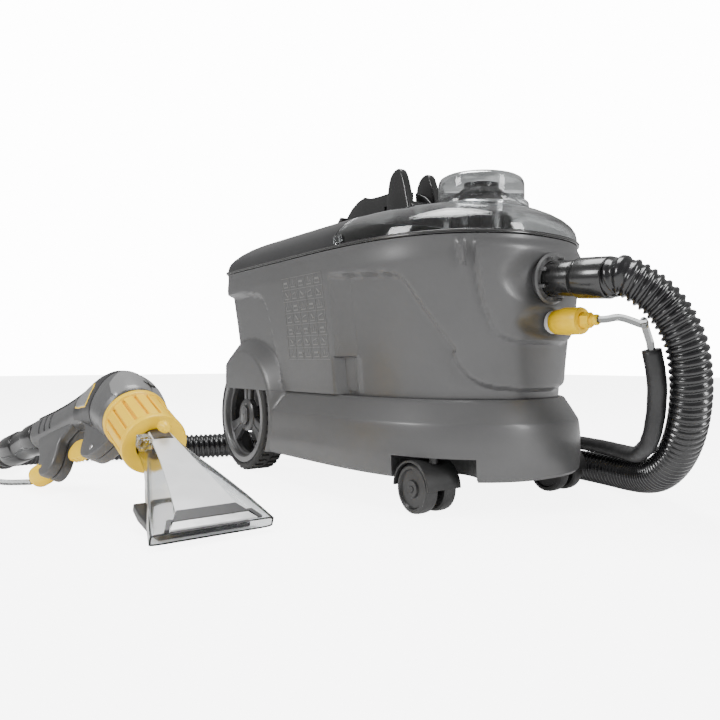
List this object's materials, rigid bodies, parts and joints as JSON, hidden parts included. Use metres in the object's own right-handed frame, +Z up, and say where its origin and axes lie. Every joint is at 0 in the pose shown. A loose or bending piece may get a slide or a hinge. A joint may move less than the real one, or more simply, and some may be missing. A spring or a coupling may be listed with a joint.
{
  "type": "spot extractor",
  "caption": "Wheeled carpet and upholstery spot extractor: grey double-curved body, clear lid with dome, suction hose, spray line and a clear-nosed hand tool lying beside it.",
  "frame": {"origin": "on the floor, at the middle of the box that holds the machine and its hand tool, without the loose hoses", "axes": "+Z up, +Y from the machine's nose to its rear, +X to the side away from the hand tool"},
  "size_m": [0.8044, 1.0192, 0.469],
  "materials": {
    "body_grey": "fine-textured satin, mid grey",
    "cover_black": "fine-textured satin, near black",
    "gloss_black": "polished black",
    "tool_grey": "satin mid grey",
    "tool_dark": "satin dark grey",
    "grip_black": "soft matt grip",
    "yellow": "semi-gloss yellow",
    "clear_lid": "clear moulded plastic",
    "smoke_tank": "smoked clear plastic",
    "clear_nozzle": "clear moulded plastic",
    "seal_rubber": "semi-gloss gasket",
    "tyre_rubber": "matt black",
    "wheel_grey": "satin dark grey",
    "castor_rubber": "matt black",
    "hose_black": "corrugated, semi-gloss black",
    "sleeve_black": "smooth black sleeve",
    "clear_hose": "flexible clear tube",
    "steel": "turned steel",
    "black_plastic": "satin black"
  },
  "bodies": {
    "machine": {"base_housing": "body_grey", "underside_pad": "black_plastic", "fresh_water_tank": "body_grey", "rim_seal": "seal_rubber", "rear_cover": "cover_black", "suction_turbine": "steel", "water_pump": "black_plastic", "suction_duct": "black_plastic", "water_strainer": "yellow", "rear_axle": "steel", "cable_gland": "black_plastic", "hose_port": "body_grey", "spray_socket": "clear_nozzle", "handle_pin": "steel", "machine_hose_tail": "yellow", "hose_cuff": "hose_black", "suction_hose": "hose_black", "hose_sleeve": "sleeve_black", "spray_hose": "clear_hose", "spray_hose_end": "clear_hose", "gun_shell_left": "tool_grey", "gun_shell_right": "tool_grey", "trigger_pin": "steel", "gun_cuff": "hose_black", "spray_valve": "yellow", "tool_hose_tail": "tool_dark", "nozzle_body": "clear_nozzle", "upholstery_adaptor": "tool_dark", "spray_jet": "yellow"},
    "dirty_tank": {"dirty_tank": "smoke_tank"},
    "lid": {"tank_lid": "clear_lid", "inspection_dome": "clear_lid", "float_cage": "black_plastic"},
    "float": {"shut_off_float": "yellow"},
    "carry_handle": {"carry_handle": "gloss_black"},
    "suction_switch": {"suction_switch": "black_plastic"},
    "spray_switch": {"spray_switch": "yellow"},
    "wheel_left": {"tyre_left": "tyre_rubber", "rim_left": "wheel_grey", "hub_cap_left": "tool_grey"},
    "wheel_right": {"tyre_right": "tyre_rubber", "rim_right": "wheel_grey", "hub_cap_right": "tool_grey"},
    "castor_left": {"castor_fork_left": "black_plastic"},
    "castor_right": {"castor_fork_right": "black_plastic"},
    "castor_left_outer": {"castor_wheel_left_outer": "castor_rubber"},
    "castor_left_inner": {"castor_wheel_left_inner": "castor_rubber"},
    "castor_right_outer": {"castor_wheel_right_outer": "castor_rubber"},
    "castor_right_inner": {"castor_wheel_right_inner": "castor_rubber"},
    "spray_trigger": {"spray_trigger": "yellow"},
    "union_ring": {"union_ring": "yellow"},
    "machine_coupling": {"machine_coupling": "yellow"},
    "tool_coupling": {"tool_coupling": "yellow"}
  },
  "joints": [
    {"name": "tank_lift", "type": "slide", "parent": "machine", "child": "dirty_tank", "axis": [0, 0, 1], "range_m": [0, 0.3]},
    {"name": "lid_lift", "type": "slide", "parent": "dirty_tank", "child": "lid", "axis": [0, 0, 1], "range_m": [0, 0.15]},
    {"name": "float_rise", "type": "slide", "parent": "lid", "child": "float", "axis": [0, 0, 1], "range_m": [0, 0.03]},
    {"name": "handle_swing", "type": "hinge", "parent": "machine", "child": "carry_handle", "pos_m": [0.1682, 0.1528, 0.397], "axis": [-1, 0, 0], "range_deg": [0, 95]},
    {"name": "suction_switch_rock", "type": "hinge", "parent": "machine", "child": "suction_switch", "pos_m": [0.1382, 0.2464, 0.372], "axis": [1, 0, 0], "range_deg": [-8, 8]},
    {"name": "spray_switch_rock", "type": "hinge", "parent": "machine", "child": "spray_switch", "pos_m": [0.1982, 0.2464, 0.372], "axis": [1, 0, 0], "range_deg": [-8, 8]},
    {"name": "wheel_left_spin", "type": "hinge", "parent": "machine", "child": "wheel_left", "pos_m": [0.0282, 0.2218, 0.092], "axis": [1, 0, 0], "continuous": true},
    {"name": "wheel_right_spin", "type": "hinge", "parent": "machine", "child": "wheel_right", "pos_m": [0.3082, 0.2218, 0.092], "axis": [1, 0, 0], "continuous": true},
    {"name": "castor_left_swivel", "type": "hinge", "parent": "machine", "child": "castor_left", "pos_m": [0.0502, -0.2307, 0.06], "axis": [0, 0, 1], "continuous": true},
    {"name": "castor_right_swivel", "type": "hinge", "parent": "machine", "child": "castor_right", "pos_m": [0.2862, -0.2307, 0.06], "axis": [0, 0, 1], "continuous": true},
    {"name": "castor_left_outer_spin", "type": "hinge", "parent": "castor_left", "child": "castor_left_outer", "pos_m": [0.0359, -0.2182, 0.03], "axis": [1, 0, 0], "continuous": true},
    {"name": "castor_left_inner_spin", "type": "hinge", "parent": "castor_left", "child": "castor_left_inner", "pos_m": [0.0645, -0.2182, 0.03], "axis": [1, 0, 0], "continuous": true},
    {"name": "castor_right_outer_spin", "type": "hinge", "parent": "castor_right", "child": "castor_right_outer", "pos_m": [0.3005, -0.2182, 0.03], "axis": [1, 0, 0], "continuous": true},
    {"name": "castor_right_inner_spin", "type": "hinge", "parent": "castor_right", "child": "castor_right_inner", "pos_m": [0.2719, -0.2182, 0.03], "axis": [1, 0, 0], "continuous": true},
    {"name": "trigger_pull", "type": "hinge", "parent": "machine", "child": "spray_trigger", "pos_m": [-0.2464, 0.1191, 0.0645], "axis": [0.8696, 0.1933, -0.4544], "range_deg": [0, 12], "stiffness_Nm_per_rad": 0.05},
    {"name": "union_turn", "type": "hinge", "parent": "machine", "child": "union_ring", "pos_m": [-0.2098, 0.0238, 0.094], "axis": [-0.0262, 0.9369, 0.3486], "range_deg": [0, 90]},
    {"name": "machine_coupling_slide", "type": "slide", "parent": "machine", "child": "machine_coupling", "axis": [0, -1, 0], "range_m": [0, 0.004], "stiffness_N_per_m": 400},
    {"name": "tool_coupling_slide", "type": "slide", "parent": "machine", "child": "tool_coupling", "axis": [-0.4047, 0.8063, -0.4314], "range_m": [0, 0.002], "stiffness_N_per_m": 400}
  ]
}
